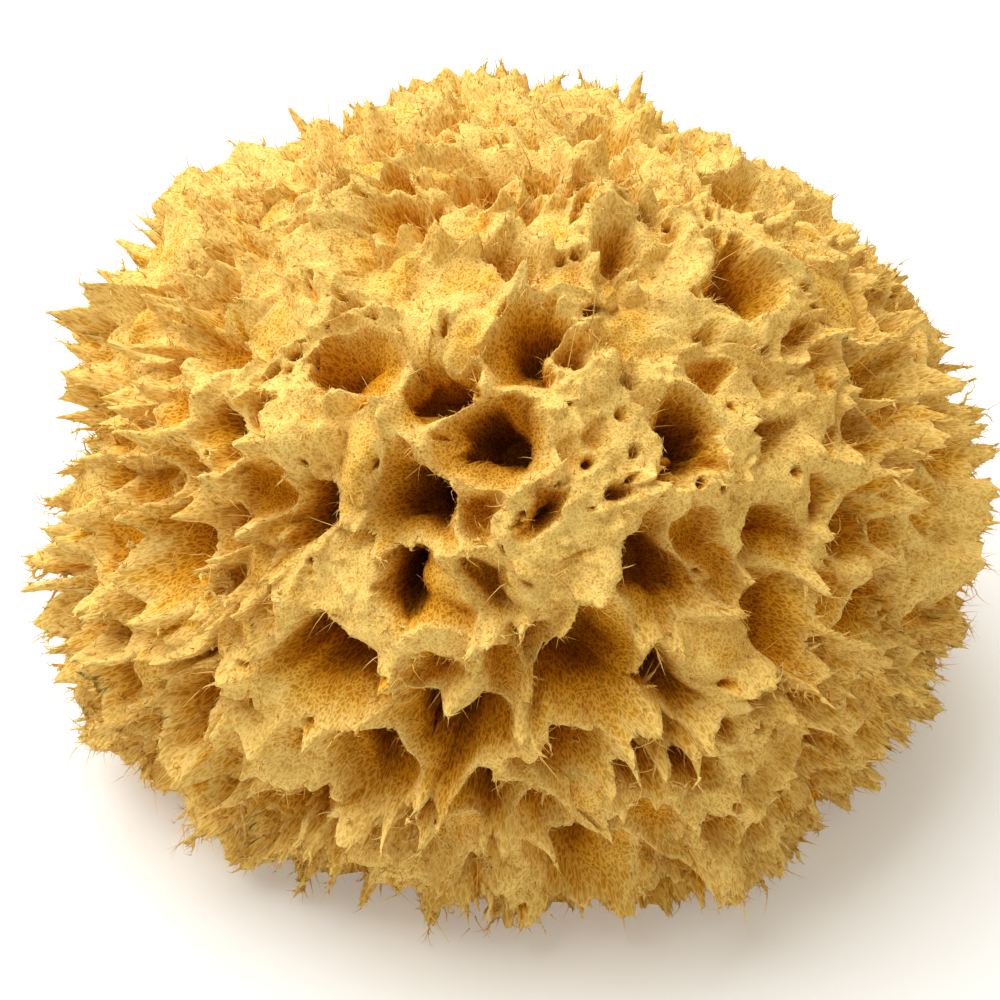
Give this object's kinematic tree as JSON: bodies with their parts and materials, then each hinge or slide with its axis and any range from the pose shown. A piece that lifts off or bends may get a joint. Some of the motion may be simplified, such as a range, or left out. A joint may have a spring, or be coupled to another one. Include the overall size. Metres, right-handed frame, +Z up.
{
  "type": "sea sponge",
  "caption": "Natural honeycomb bath sponge: a rounded straw-yellow lump with a network of pits, deep canals and ragged tufts, cut flat where it left the rock so that it rests.",
  "frame": {"origin": "on the flat cut, under the middle of the sponge's box", "axes": "+Z up out of the cut, +X along the widest side, -Y towards the front"},
  "size_m": [0.1516, 0.1432, 0.0999],
  "materials": {
    "sponge": "dry matt felt of fine horny fibres, straw yellow on the crests and orange in the pits"
  },
  "bodies": {
    "root": {"sponge": "sponge"}
  },
  "joints": []
}
